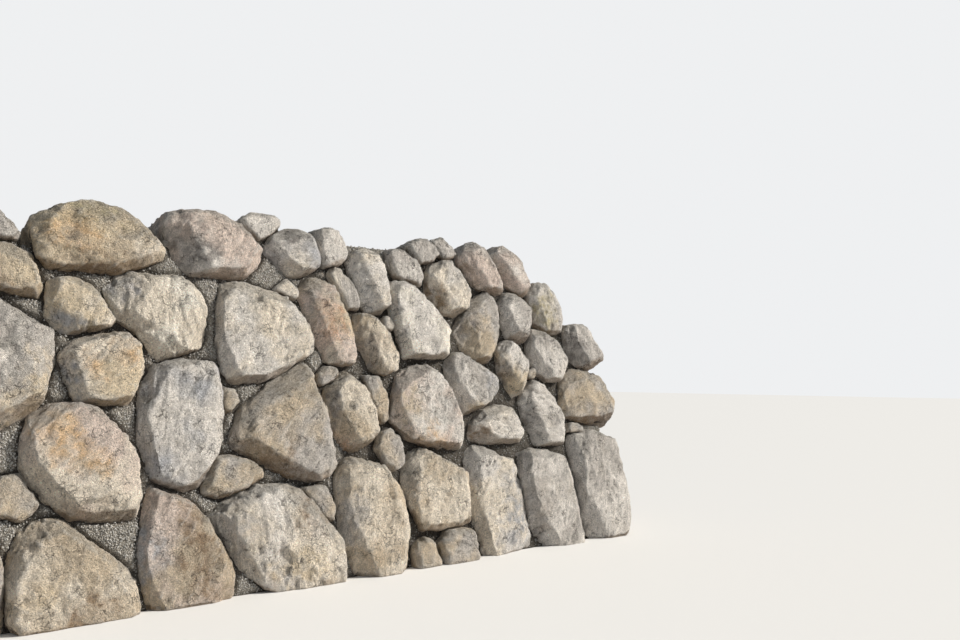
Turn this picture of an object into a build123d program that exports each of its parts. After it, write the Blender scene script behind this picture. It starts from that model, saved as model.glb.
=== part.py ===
from build123d import *
from dataclasses import dataclass
from math import atan2, cos, degrees, hypot, radians, sin
import os

# A dry-laid boulder retaining wall: one row of limestone boulders, four courses high.
# The boulders lie with their long axes into the wall and are bedded in dark gravel.
# X runs along the wall, Y runs into it from the face, and Z is up from the ground.
# The origin is on the ground, under the middle of the wall's box.
# Everything is in millimetres, apart from the outlines, which are in steps of STEP.

STEP = 10.0  # one unit of the stones' outlines, which are (along the wall, up the face)
BATTER = 0.25  # the face leans back this far for each unit of height
BED_FALL = 0.14  # the beds fall this far towards the back for each unit of depth
FOOT_THICKNESS = 1250.0  # from the face to the back of the boulders, at the ground
BACK_TAPER = 0.13  # the boulders get this much shorter for each unit of height
JOINT = 8.0  # the least gap between two neighbouring stones
GROWTH_ROUNDS = 3  # how often the corners are moved out, each time as far as there is room
MOST_GROWTH = 20.0  # how far a corner may be moved out in one round
OPEN_GAP = 220.0  # a corner with this much room has no neighbour to close up to

FRONT_SHARE = 0.86  # the front of a stone, as a share of its outline
BROW_SHARE = 0.965  # between the front and the face plane
SHOULDER_SHARE = 0.995  # a little behind the face plane
BACK_SHARE = 0.94  # where the back of a stone starts to round off
TAIL_SHARE = 0.70  # the back end of a stone
BROW_RISE = 0.55  # where the brow lies, as a share of how proud the front is
SHOULDER_DEPTH = 20.0  # how far the shoulder lies behind the face plane
GIRTH_DEPTH = 90.0  # how far the widest section lies behind the face plane
BACK_ROUNDING = 180.0  # how long the rounded back end of a boulder is
SMALL_STONE_DEPTH = 340.0  # from face to back of the stones that fill the joints
SMALL_STONE_ROUNDING = 90.0  # how long the rounded back end of a small stone is

CHIPS = 11  # how many flat chips a boulder has lost, from its front round to its back
SMALL_STONE_CHIPS = 4
CHIP_TURN = 137.5  # each chip faces this many degrees further round than the last
FIRST_CHIP_SLOPE = 30.0  # how far the first chip is turned from the front; the last faces the back
LEAST_CHIP = 0.03  # how deep the chips are, as shares of the stone's radius
MOST_CHIP = 0.16

PACKING_RECESS = 55.0  # how far the gravel lies behind the face
PACKING_BACK_RECESS = 150.0  # how far the gravel stops short of the boulders' back ends
LIFTS = 4  # the gravel is placed in this many lifts of equal height
SMALLEST_POCKET = 60.0  # a pocket between stones smaller than a cube of this side holds no gravel


@dataclass
class Stone:
    """One stone, from its widest outline as it shows on the face."""

    outline: list
    proud: float  # how far its front stands out from the face plane
    cleaved: tuple  # its flat broken faces, each (bearing, reach, drop); bearing 90 is up
    small: bool = False


def boulder(outline, proud=75.0, cleaved=()):
    return Stone(outline, proud, cleaved)


def wedge(outline, proud=30.0):
    return Stone(outline, proud, (), small=True)


BASE_COURSE = [
    boulder(
        [(-118, -20), (-120, 30), (-108, 60), (-85, 68), (-62, 62), (-57, 40), (-57, -20)],
        cleaved=[(170, 0.7, 110), (60, 0.7, 80)],
    ),
    boulder(
        [(-53, -20), (-54, 40), (-50, 60), (-30, 66), (-8, 58), (3, 49), (20, 22), (24, -20)],
        proud=90, cleaved=[(195, 0.8, 130), (-80, 0.5, 90), (110, 0.75, 90), (40, 0.7, 90)],
    ),
    boulder(
        [(31, -20), (31, 40), (35, 84), (45, 82), (56, 75), (73, 65), (84, 42), (94, 22), (92, -20)],
        proud=60, cleaved=[(180, 0.75, 100), (80, 0.8, 80)],
    ),
    boulder(
        [(150, -20), (98, 20), (78, 60), (90, 68), (120, 74), (147, 75), (155, 66), (180, 33), (181, 18),
         (174, -20)],
        proud=110, cleaved=[(160, 0.15, 100), (50, 0.65, 120), (-110, 0.75, 120)],
    ),
    boulder(
        [(192, -20), (184, 58), (185, 79), (195, 89), (212, 94), (224, 91), (246, 62), (247, 40),
         (240, -20)],
        proud=100, cleaved=[(185, 0.55, 150), (-5, 0.8, 80), (-125, 0.7, 150)],
    ),
    boulder(
        [(262, 26), (251, 62), (258, 88), (270, 95), (290, 90), (313, 80), (319, 68), (314, 31)],
        proud=85, cleaved=[(185, 0.8, 110), (-90, 0.85, 120), (80, 0.8, 80)],
    ),
    boulder(
        [(322, -20), (323, 60), (320, 88), (329, 95), (345, 93), (376, 90), (381, 50), (385, -20)],
        proud=60, cleaved=[(180, 0.7, 130), (-20, 0.4, 90)],
    ),
    boulder(
        [(390, -20), (387, 55), (384, 82), (400, 88), (430, 87), (446, 82), (450, 40), (450, -20)],
        cleaved=[(185, 0.6, 100), (60, 0.7, 90)],
    ),
    boulder(
        [(454, -20), (454, 50), (452, 90), (462, 98), (490, 101), (512, 98), (522, 80), (524, 30),
         (520, -20)],
        proud=85, cleaved=[(190, 0.6, 120), (60, 0.6, 90), (-10, 0.75, 80)],
    ),
]

SECOND_COURSE = [
    boulder(
        [(-112, 70), (-121, 92), (-112, 116), (-90, 124), (-69, 113), (-63, 98), (-66, 75)],
        cleaved=[(195, 0.6, 110), (60, 0.7, 80)],
    ),
    boulder(
        [(10, 54), (-15, 65), (-31, 78), (-43, 97), (-40, 127), (-30, 138), (-10, 139), (9, 132), (21, 118),
         (30, 100), (29, 74), (23, 58)],
        proud=110, cleaved=[(-95, 0.6, 190), (180, 0.75, 120), (110, 0.7, 120)],
    ),
    boulder(
        [(33, 92), (52, 82), (71, 76), (82, 95), (91, 108), (94, 132), (93, 160), (88, 173), (42, 167),
         (33, 150), (30, 120)],
        proud=85, cleaved=[(185, 0.75, 140), (-70, 0.8, 110)],
    ),
    boulder(
        [(95, 107), (153, 79), (176, 74), (187, 82), (186, 102), (178, 158), (171, 168), (160, 165),
         (128, 149), (99, 128)],
        proud=100, cleaved=[(-125, 0.6, 170), (130, 0.65, 120), (20, 0.75, 80)],
    ),
    boulder(
        [(190, 99), (202, 97), (218, 102), (231, 113), (227, 134), (218, 154), (208, 162), (198, 155),
         (187, 148), (185, 134), (188, 110)],
        proud=90, cleaved=[(195, 0.35, 150), (-110, 0.6, 140)],
    ),
    boulder(
        [(248, 120), (256, 108), (270, 101), (292, 94), (307, 93), (316, 99), (320, 120), (316, 145),
         (307, 156), (293, 165), (278, 165), (256, 157), (249, 142)],
        proud=105, cleaved=[(185, 0.75, 100), (-95, 0.75, 150), (80, 0.8, 80)],
    ),
    boulder(
        [(328, 103), (345, 97), (362, 94), (386, 95), (393, 102), (392, 113), (380, 128), (368, 131),
         (350, 126), (335, 116)],
        proud=80, cleaved=[(195, 0.5, 120), (-90, 0.6, 120)],
    ),
    boulder(
        [(397, 95), (396, 125), (402, 143), (420, 154), (429, 154), (437, 138), (448, 126), (449, 102),
         (442, 93)],
        proud=60, cleaved=[(185, 0.25, 160), (60, 0.6, 80)],
    ),
    boulder(
        [(452, 122), (466, 113), (485, 107), (514, 109), (521, 122), (526, 138), (516, 153), (500, 161),
         (482, 166), (470, 159), (455, 151), (451, 138)],
        proud=80, cleaved=[(180, 0.6, 110), (-95, 0.6, 130), (60, 0.5, 90)],
    ),
]

THIRD_COURSE = [
    boulder(
        [(-92, 134), (-60, 122), (-46, 128), (-29, 147), (-22, 170), (-23, 190), (-34, 205), (-50, 213),
         (-78, 211), (-98, 196), (-104, 165)],
        proud=95, cleaved=[(25, 0.75, 90), (-60, 0.7, 130)],
    ),
    boulder(
        [(-10, 146), (3, 141), (26, 139), (34, 157), (39, 170), (34, 184), (25, 190), (-13, 182),
         (-17, 174), (-17, 159)],
        proud=80, cleaved=[(185, 0.6, 120), (85, 0.75, 70), (-75, 0.8, 90)],
    ),
    boulder(
        [(-19, 189), (17, 195), (20, 199), (11, 212), (2, 224), (-6, 227), (-21, 226), (-27, 204)],
        proud=70, cleaved=[(215, 0.3, 100), (75, 0.6, 70)],
    ),
    boulder(
        [(43, 172), (58, 174), (80, 181), (87, 193), (88, 205), (83, 222), (72, 235), (50, 237), (30, 233),
         (9, 228), (16, 210), (24, 199), (36, 194), (41, 183)],
        proud=95, cleaved=[(125, 0.4, 160), (-135, 0.5, 130), (0, 0.75, 80)],
    ),
    boulder(
        [(94, 173), (104, 158), (122, 151), (136, 155), (160, 170), (175, 177), (178, 188), (173, 206),
         (164, 221), (142, 225), (128, 230), (106, 232), (95, 226), (93, 200)],
        proud=85, cleaved=[(185, 0.8, 150), (-60, 0.8, 90), (85, 0.85, 70)],
    ),
    boulder(
        [(182, 175), (192, 169), (211, 168), (218, 176), (218, 195), (212, 218), (205, 231), (197, 240),
         (184, 241), (175, 235), (172, 222), (179, 203), (184, 188)],
        proud=60, cleaved=[(185, 0.3, 150), (100, 0.6, 110)],
    ),
    boulder(
        [(230, 168), (242, 162), (254, 165), (259, 178), (256, 190), (241, 211), (227, 212), (222, 205),
         (222, 180)],
        proud=65, cleaved=[(190, 0.15, 170)],
    ),
    boulder(
        [(264, 182), (272, 176), (308, 175), (317, 182), (322, 203), (313, 215), (300, 223), (292, 236),
         (278, 243), (264, 244), (261, 225), (264, 205)],
        proud=100, cleaved=[(190, 0.7, 120), (-90, 0.8, 200), (45, 0.75, 80)],
    ),
    boulder(
        [(323, 131), (328, 124), (345, 129), (368, 143), (370, 152), (361, 161), (336, 178), (325, 176),
         (314, 169)],
        proud=80, cleaved=[(200, 0.55, 120), (130, 0.5, 110), (-30, 0.7, 90)],
    ),
    boulder(
        [(326, 187), (341, 186), (352, 175), (362, 172), (372, 180), (382, 198), (386, 218), (384, 233),
         (374, 240), (360, 234), (348, 217), (328, 205)],
        proud=60, cleaved=[(165, 0.3, 120), (-70, 0.75, 80)],
    ),
    boulder(
        [(377, 158), (389, 137), (396, 144), (403, 154), (411, 164), (413, 174), (406, 184), (397, 191),
         (385, 190), (378, 179)],
        proud=75, cleaved=[(200, 0.3, 150), (-60, 0.75, 90)],
    ),
    boulder(
        [(391, 203), (398, 197), (410, 190), (417, 197), (424, 211), (424, 225), (416, 235), (403, 238),
         (393, 231), (389, 215)],
        proud=90, cleaved=[(190, 0.5, 150), (-110, 0.6, 130)],
    ),
    boulder(
        [(419, 173), (438, 156), (452, 157), (463, 166), (466, 175), (459, 187), (446, 199), (430, 206),
         (418, 188)],
        proud=85, cleaved=[(200, 0.5, 120), (60, 0.7, 80)],
    ),
    boulder(
        [(473, 175), (495, 171), (503, 167), (518, 172), (522, 179), (512, 195), (504, 208), (481, 209),
         (472, 200)],
        proud=75, cleaved=[(190, 0.15, 170), (-70, 0.6, 140)],
    ),
]

TOP_COURSE = [
    boulder(
        [(-104, 226), (-60, 222), (-40, 215), (-31, 212), (-28, 226), (-32, 241), (-48, 250), (-80, 250),
         (-106, 242)],
        cleaved=[(-80, 0.6, 110), (70, 0.6, 80)],
    ),
    boulder(
        [(-23, 234), (2, 232), (22, 238), (57, 248), (60, 259), (52, 268), (35, 279), (12, 285), (-8, 281),
         (-28, 273), (-37, 259), (-32, 246)],
        proud=110, cleaved=[(-95, 0.6, 160), (85, 0.55, 110), (180, 0.8, 90)],
    ),
    boulder(
        [(69, 246), (82, 238), (100, 238), (122, 240), (136, 250), (141, 260), (135, 271), (122, 281),
         (105, 288), (70, 285), (58, 276)],
        proud=95, cleaved=[(185, 0.35, 190), (-90, 0.75, 120), (80, 0.7, 80)],
    ),
    boulder(
        [(145, 260), (153, 249), (162, 243), (178, 248), (191, 253), (193, 265), (189, 280), (170, 281),
         (147, 272)],
        proud=75, cleaved=[(215, 0.45, 140), (85, 0.7, 80)],
    ),
    boulder(
        [(236, 217), (248, 215), (256, 222), (259, 238), (256, 258), (248, 268), (234, 267), (224, 259),
         (231, 228)],
        proud=85, cleaved=[(180, 0.1, 110), (-90, 0.75, 110)],
    ),
    boulder(
        [(307, 231), (319, 220), (333, 214), (345, 223), (350, 235), (346, 253), (339, 266), (328, 268),
         (312, 261), (304, 249)],
        proud=100, cleaved=[(200, 0.4, 160), (-80, 0.65, 150), (70, 0.75, 80)],
    ),
    boulder(
        [(352, 256), (362, 247), (376, 247), (387, 240), (397, 246), (395, 256), (386, 271), (380, 282),
         (370, 287), (355, 280), (348, 271)],
        proud=80, cleaved=[(205, 0.3, 180), (-75, 0.7, 130)],
    ),
    boulder(
        [(389, 278), (398, 264), (407, 252), (417, 244), (429, 242), (432, 250), (428, 264), (420, 279),
         (410, 286), (394, 286)],
        proud=75, cleaved=[(200, 0.2, 150), (-50, 0.75, 90)],
    ),
    boulder(
        [(434, 215), (446, 207), (459, 204), (466, 209), (469, 220), (463, 240), (457, 251), (442, 252),
         (435, 241), (432, 227)],
        proud=70, cleaved=[(180, 0.55, 120), (60, 0.6, 80)],
    ),
]

BASE_WEDGES = [
    wedge([(156, 71), (174, 70), (181, 58), (179, 44), (172, 50)]),
    wedge([(252, -20), (254, 12), (262, 20), (273, 17), (277, -20)], proud=60),
    wedge([(281, -20), (280, 16), (289, 25), (305, 25), (316, 22), (318, -20)], proud=80),
]

SECOND_WEDGES = [
    wedge([(-60, 73), (-46, 70), (-37, 76), (-47, 93), (-57, 92), (-60, 82)]),
    wedge(
        [(78, 75), (81, 86), (86, 97), (98, 99), (110, 95), (121, 89), (121, 83), (106, 79), (92, 75)],
        proud=45,
    ),
    wedge([(97, 150), (105, 147), (108, 140), (103, 134), (98, 131)]),
    wedge([(182, 152), (182, 160), (188, 165), (196, 164), (199, 161), (194, 157)]),
    wedge([(225, 157), (239, 156), (244, 142), (243, 124), (238, 120), (231, 131), (229, 145)]),
    wedge([(231, 98), (235, 108), (243, 112), (250, 104), (252, 92), (250, 84), (244, 81), (237, 85)]),
    wedge([(412, 157), (415, 164), (420, 165), (424, 161), (419, 157)]),
    wedge([(455, 104), (459, 111), (469, 109), (473, 104)]),
]

THIRD_WEDGES = [
    wedge([(150, 230), (160, 236), (167, 232), (166, 225), (155, 228)]),
    wedge([(252, 202), (253, 210), (259, 211), (261, 205), (258, 200)]),
    wedge([(216, 221), (227, 218), (225, 234), (217, 249), (209, 251), (204, 245), (210, 234)]),
]

TOP_WEDGES = [
    wedge([(-96, 256), (-44, 255), (-42, 259), (-52, 268), (-65, 274), (-86, 271), (-98, 264)], proud=50),
    wedge([(125, 286), (139, 274), (150, 280), (156, 286), (152, 292), (136, 291)]),
    wedge([(198, 255), (213, 260), (218, 267), (215, 276), (209, 284), (195, 284), (197, 267)], proud=55),
    wedge(
        [(273, 250), (290, 248), (297, 244), (300, 252), (295, 265), (282, 274), (270, 272), (269, 260)],
        proud=50,
    ),
    wedge([(300, 265), (310, 268), (321, 275), (316, 283), (306, 287), (289, 281)], proud=45),
    wedge([(329, 274), (341, 275), (342, 279), (331, 288), (320, 287), (325, 280)]),
]

# The outline of the gravel, which stays inside the boulders at the ends and at the top.
PACKING_OUTLINE = [
    (-106, -20), (-108, 100), (-96, 128), (-94, 258), (-50, 260), (-36, 250), (60, 262), (112, 270),
    (140, 281), (158, 276), (330, 276), (395, 270), (430, 246), (457, 237), (464, 198), (504, 190),
    (508, -20),
]


def place(along, up, depth):
    """The point that lies this far along the wall, up its face and into it."""
    return Vector(along, BATTER * up + depth, up - BED_FALL * depth)


def in_mm(outline):
    return [(STEP * along, STEP * up) for along, up in outline]


def distance(point, side):
    """How far a point is from a straight side."""
    (x, y), ((x0, y0), (x1, y1)) = point, side
    run, rise = x1 - x0, y1 - y0
    share = max(0.0, min(1.0, ((x - x0) * run + (y - y0) * rise) / (run * run + rise * rise)))
    return hypot(x - x0 - share * run, y - y0 - share * rise)


def sides_of(outline):
    return list(zip(outline, outline[1:] + outline[:1]))


def middle(outline):
    """The middle of an outline's area."""
    area = along = up = 0.0
    for (x0, y0), (x1, y1) in sides_of(outline):
        cross = x0 * y1 - x1 * y0
        area += cross / 2
        along += (x0 + x1) * cross / 6
        up += (y0 + y1) * cross / 6
    return along / area, up / area


def inset(outline, gap):
    """The outline with every side moved inwards by the gap."""
    sides = sides_of(outline)
    turn = 1 if sum(x0 * y1 - x1 * y0 for (x0, y0), (x1, y1) in sides) > 0 else -1
    lines = []
    for (x0, y0), (x1, y1) in sides:
        length = ((x1 - x0) ** 2 + (y1 - y0) ** 2) ** 0.5
        a, b = -turn * (y1 - y0) / length, turn * (x1 - x0) / length
        lines.append((a, b, a * x0 + b * y0 + gap))
    corners = []
    for (a0, b0, c0), (a1, b1, c1) in zip(lines[-1:] + lines[:-1], lines):
        det = a0 * b1 - a1 * b0
        corners.append(((c0 * b1 - c1 * b0) / det, (a0 * c1 - a1 * c0) / det))
    return corners


def grown(outline, others):
    """The outline with its corners moved out, to leave only a joint to the other outlines."""
    mid_x, mid_y = middle(outline)
    sides = sides_of(outline)
    rooms = []
    for side in sides:
        room = OPEN_GAP
        for other in others:
            near = [distance(point, side) for point in other]
            near += [distance(point, far_side) for point in side for far_side in sides_of(other)]
            room = min(room, *near)
        rooms.append(room)
    corners = []
    for i, (x, y) in enumerate(outline):
        room = min(rooms[i - 1], rooms[i])
        move = min(MOST_GROWTH, max(0.0, (room - JOINT) / 2)) if room < OPEN_GAP else 0.0
        away = hypot(x - mid_x, y - mid_y)
        corners.append((x + move * (x - mid_x) / away, y + move * (y - mid_y) / away))
    return corners


def grow_together(stones):
    """Every stone's outline in mm, with the joints that were left wide closed up."""
    outlines = [inset(in_mm(stone.outline), JOINT / 2) for stone in stones]
    for _ in range(GROWTH_ROUNDS):
        spans = [(min(x for x, _ in o) - OPEN_GAP, max(x for x, _ in o) + OPEN_GAP) for o in outlines]
        together = []
        for i, (left, right) in enumerate(spans):
            near = [o for j, o in enumerate(outlines) if j != i and any(left < x < right for x, _ in o)]
            together.append(grown(outlines[i], near))
        outlines = together
    return outlines


def solid_between(rings):
    """The closed solid through rings of matching points, flat at both ends."""
    faces = [Face(Wire.make_polygon(ring)) for ring in (rings[0], rings[-1])]
    for near, far in zip(rings, rings[1:]):
        for i, point in enumerate(near):
            j = (i + 1) % len(near)
            faces.append(Face(Wire.make_polygon([point, near[j], far[j], far[i]])))
    return Solid(Shell(faces))


def wall_depth(up):
    """How thick the wall is at this height of its face."""
    return FOOT_THICKNESS - BACK_TAPER * up


def make_stone(stone, outline):
    """A stone: its outline narrows to a proud front and to a rounded back end."""
    mid_x, mid_y = middle(outline)
    depth = SMALL_STONE_DEPTH if stone.small else wall_depth(mid_y)
    rounding = SMALL_STONE_ROUNDING if stone.small else BACK_ROUNDING
    rings = []
    for at, share in (
        (-stone.proud, FRONT_SHARE),
        (-stone.proud * BROW_RISE, BROW_SHARE),
        (SHOULDER_DEPTH, SHOULDER_SHARE),
        (GIRTH_DEPTH, 1.0),
        (depth - rounding, BACK_SHARE),
        (depth, TAIL_SHARE),
    ):
        ring = [(mid_x + share * (x - mid_x), mid_y + share * (y - mid_y)) for x, y in outline]
        rings.append([place(x, y, at) for x, y in ring])
    solid = solid_between(rings)
    for bearing, reach, drop in stone.cleaved:
        solid = cleave(solid, outline, stone.proud, bearing, reach, drop)
    solid = chipped(solid, outline, SMALL_STONE_CHIPS if stone.small else CHIPS)
    return split(solid, bisect_by=Plane.XY, keep=Keep.TOP)


def facing(bearing, slope):
    """The direction that is turned from the wall's front by the slope, towards the bearing."""
    bearing, slope = radians(bearing), radians(slope)
    return Vector(sin(slope) * cos(bearing), -cos(slope), sin(slope) * sin(bearing))


def cleave(solid, outline, proud, bearing, reach, drop):
    """The stone with a flat broken face.

    It starts this share of the way from the middle of the front to the outline,
    and has fallen back by the drop, in mm, where it meets the outline.
    """
    mid_x, mid_y = middle(outline)
    to_x, to_y = cos(radians(bearing)), sin(radians(bearing))
    radius = max((x - mid_x) * to_x + (y - mid_y) * to_y for x, y in outline)
    start = place(mid_x + reach * radius * to_x, mid_y + reach * radius * to_y, -proud)
    slope = degrees(atan2(drop, (1 - reach) * radius))
    return split(solid, bisect_by=Plane(origin=start, z_dir=facing(bearing, slope)), keep=Keep.BOTTOM)


def chipped(solid, outline, chips):
    """The stone with flat chips off its corners, which follow a spiral from front to back."""
    mid_x, mid_y = middle(outline)
    radius = sum(hypot(x - mid_x, y - mid_y) for x, y in outline) / len(outline)
    first_bearing = degrees(atan2(outline[0][1] - mid_y, outline[0][0] - mid_x))
    for number in range(chips):
        slope = FIRST_CHIP_SLOPE + (180 - 2 * FIRST_CHIP_SLOPE) * number / (chips - 1)
        normal = facing(first_bearing + CHIP_TURN * number, slope)
        share = number * CHIP_TURN / 360 % 1
        depth = radius * (LEAST_CHIP + share * (MOST_CHIP - LEAST_CHIP))
        outermost = max(vertex.center().dot(normal) for vertex in solid.vertices())
        cut = Plane(origin=(outermost - depth) * normal, z_dir=normal)
        solid = split(solid, bisect_by=cut, keep=Keep.BOTTOM)
    return solid


def make_packing():
    """The gravel as one solid, before the stones are taken out of it."""
    outline = in_mm(PACKING_OUTLINE)
    front = [place(x, y, PACKING_RECESS) for x, y in outline]
    back = [place(x, y, wall_depth(y) - PACKING_BACK_RECESS) for x, y in outline]
    return split(solid_between([front, back]), bisect_by=Plane.XY, keep=Keep.TOP)


def make_lifts(stones):
    """The gravel in lifts, without the stones and without the smallest pockets."""
    packing = make_packing()
    height = packing.bounding_box().max.Z / LIFTS
    lifts = []
    for number in range(LIFTS):
        lift = split(packing, bisect_by=Plane.XY.offset(number * height), keep=Keep.TOP)
        if number < LIFTS - 1:
            lift = split(lift, bisect_by=Plane.XY.offset((number + 1) * height), keep=Keep.BOTTOM)
        pieces = lift.cut(*stones).solids()
        lifts.append([piece for piece in pieces if piece.volume > SMALLEST_POCKET**3])
    return lifts


def make_nodes():
    """Every node's solids, by the node's name."""
    named = []
    courses = {"base": BASE_COURSE, "second": SECOND_COURSE, "third": THIRD_COURSE, "top": TOP_COURSE}
    for course, stones in courses.items():
        named += [(f"{course}_boulder_{number}", stone) for number, stone in enumerate(stones, 1)]
    wedges = {"base": BASE_WEDGES, "second": SECOND_WEDGES, "third": THIRD_WEDGES, "top": TOP_WEDGES}
    for course, stones in wedges.items():
        named += [(f"{course}_wedge_stones", stone) for stone in stones]
    nodes = {name: [] for name, _ in named}
    for (name, stone), outline in zip(named, grow_together([stone for _, stone in named])):
        nodes[name].append(make_stone(stone, outline))
    for number, lift in enumerate(make_lifts([solid for solids in nodes.values() for solid in solids]), 1):
        nodes[f"gravel_lift_{number}"] = lift
    return nodes


nodes = make_nodes()
box = Compound([solid for solids in nodes.values() for solid in solids]).bounding_box()
to_origin = Location((-box.center().X, -box.center().Y, 0))
os.makedirs("parts", exist_ok=True)
for name, solids in nodes.items():
    placed = [solid.moved(to_origin) for solid in solids]
    export_step(placed[0] if len(placed) == 1 else Compound(placed), f"parts/{name}.step")
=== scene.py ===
import itertools
import math

import bmesh
import bpy
import numpy as np
from mathutils import Euler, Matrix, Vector


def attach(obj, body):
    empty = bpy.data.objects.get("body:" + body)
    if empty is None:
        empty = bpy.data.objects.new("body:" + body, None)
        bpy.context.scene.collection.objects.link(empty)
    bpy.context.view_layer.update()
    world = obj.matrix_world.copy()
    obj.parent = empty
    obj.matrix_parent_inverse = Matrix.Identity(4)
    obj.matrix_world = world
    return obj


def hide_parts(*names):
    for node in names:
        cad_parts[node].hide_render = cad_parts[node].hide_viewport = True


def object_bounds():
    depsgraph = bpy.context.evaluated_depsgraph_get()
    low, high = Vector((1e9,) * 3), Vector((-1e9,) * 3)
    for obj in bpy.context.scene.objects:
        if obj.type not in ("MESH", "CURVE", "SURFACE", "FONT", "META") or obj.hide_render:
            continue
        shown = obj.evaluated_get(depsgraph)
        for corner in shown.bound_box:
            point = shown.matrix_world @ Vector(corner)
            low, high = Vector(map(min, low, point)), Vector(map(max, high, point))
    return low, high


# The looks of the boulder retaining wall. Every stone is rebuilt from its solid as a broken
# limestone boulder, and crushed stone is laid on the gravel and into the joints.
# Lengths are in metres. X runs along the wall, Y runs into it and Z is up.

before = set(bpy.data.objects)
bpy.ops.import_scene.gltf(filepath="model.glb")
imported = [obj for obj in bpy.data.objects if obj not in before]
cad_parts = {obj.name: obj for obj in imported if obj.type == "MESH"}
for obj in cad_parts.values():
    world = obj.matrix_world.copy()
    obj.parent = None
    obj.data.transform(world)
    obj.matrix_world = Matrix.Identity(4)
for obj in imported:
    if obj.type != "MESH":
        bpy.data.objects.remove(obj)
cad_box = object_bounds()

# The wall's face, as in the part's source.
BATTER = 0.25
FACE_AT_FOOT = -0.74831  # Y of the face plane at the ground
INTO = Vector((0, 1, -BATTER)).normalized()  # the way into the face

# How finely the stones are made.
VOXEL = 0.0125
HIDDEN_SHARE = 0.03  # how much of the mesh is kept where nothing shows
REAR_SHARE = 0.16  # how much is kept where it shows only from the rear, the ends and the top
FRONT_SHARE = 0.80  # how much is kept on the front
SAME_POINT = 1e-5  # vertices of the solids this near to each other are one
CELL = 0.05  # the size of the cells in which the surfaces that show are noted
MOST_CELLS = 1024  # more cells than the wall has in any direction
SEEN_PITCH = 0.03  # how far apart the rays are that find those surfaces
FRONT_VIEWS = [(0, 1, -0.1), (0.7, 0.7, -0.1), (-0.7, 0.7, -0.1), (0, 0.6, -0.8)]
REAR_VIEWS = [(0, 0, -1), (0, -1, 0), (1, 0, 0), (-1, 0, 0), (0, -0.7, -0.7)]
END_VIEWS = [(1, 0, 0), (-1, 0, 0)]
OUTSIDE = 0.1  # how far outside the wall the rays start
FAR = 12.0  # longer than any ray's way through the wall

# How a stone is broken. Cuts, radii and depths are shares of its own size.
SWELL = 0.009  # makes up for what the chips take off
CHIPS = 8  # flat chips in any direction
EDGE_CHIPS = 34  # flat chips across the edges
EDGE_CHIP_SPREAD = 0.12  # how far they turn from the edge's own way out
EDGE_SMOOTHING = 4  # the rounds of smoothing against which an edge's sharpness is measured
BLUNT = 0.85  # the share of a stone's points that are too blunt for an edge
CHIP_CUT = (0.006, 0.035)
SCOOPS = 10
SCOOP_RADIUS = (0.15, 0.7)
SCOOP_DEPTH = (0.008, 0.028)
CHIP_SMOOTHING = 0.25  # how far the chips' edges are smoothed

# Its relief: how high each kind stands, and how wide it is.
LUMP_HEIGHT = 0.006
LUMP_SIZE = 0.25
TERRACE_HEIGHT = 0.009
TERRACE_SIZE = 0.34
TERRACE_STEPS = 2.2
RISER_START = 0.42  # where a step rises, as a share of the way to the next
RISER_WIDTH = 0.16
TERRACE_TILT = 0.6  # how far the treads lean back again
RIDGE_HEIGHT = 0.007
RIDGE_SIZE = 0.07
GRAIN_HEIGHT = 0.004
GRAIN_SIZE = 0.040
SMALL_ROUGH = 0.65  # the smallest stones have a little more than this share of it
BEDDING = 0.62  # the share by which the relief is drawn out along a stone's grain
GRAIN_BEARING = 62  # the way in which most stones' grain runs up their face, in degrees
BEARING_SPREAD = 22
BEARING_DEPTH = 0.3  # how far the grain leans into or out of the wall
BEDDED_SHIFT = 20  # sets the stones' streaks apart
WEAR_SMOOTHING = 6  # the rounds of smoothing that edges and hollows are measured against
FULL_WEAR = 0.006  # an edge this high is fully worn, and a hollow this deep fully dusty

# How a stone is coloured
MIX_SIZE = 0.30  # how wide the areas of its two colours are
MIX_CONTRAST = 1.1
RAGGED_SIZE = 0.12
RAGGED = 0.45  # how ragged the edges of its patches, its soil and grit, and its painted shade are
PATCH_EDGE = 1.05  # where a patch has faded out, in its own radii
PATCH_FADE = 1.6  # how quickly it fades
BLOTCH_SIZE = 0.05
BLOTCH_MIDDLE = 0.6  # how strongly a patch covers on the whole
BLOTCH_CONTRAST = 0.8  # how much that varies, within these limits
BLOTCH_LIMITS = (0.35, 0.9)
DIRT_AND_SHADE_FROM = 0.30  # how far up or down a face turns before grit lies on its top, and soil and painted shade on its underside
DIRT_AND_SHADE_FADE = 0.35
DIRT_AND_SHADE_RAGGED = 0.4

# The dark soil and painted shade on the flanks inside the joints
FLANK_START = 0.018  # how far behind the face plane it starts
FLANK_FADE = 0.045
FLANK_END = 0.45
FLANK_END_FADE = 0.15
FLANK_UPWARD = 0.4  # faces that turn up more than this have none
FLANK_UPWARD_FADE = 0.3
FLANK_LEAST = 0.3  # how much of it shows where the pockets are packed full

# The way in which the pockets between the stones are filled
PACKED_FULL = (-0.35, 0.25)  # the X up to which pockets are packed full, and from which they aren't
PACKED_LESS = 0.2  # how full they are from there on

# The camera
EYE = Vector((-3.8817, -6.9709, 1.6))
HEADING = -39.09
TILT = 93.497
LENS = 33.75


def srgb(red, green, blue):
    """A linear colour from its 0 to 255 display values."""
    shares = (value / 255 for value in (red, green, blue))
    return tuple(((c + 0.055) / 1.055) ** 2.4 if c > 0.04045 else c / 12.92 for c in shares)


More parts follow.
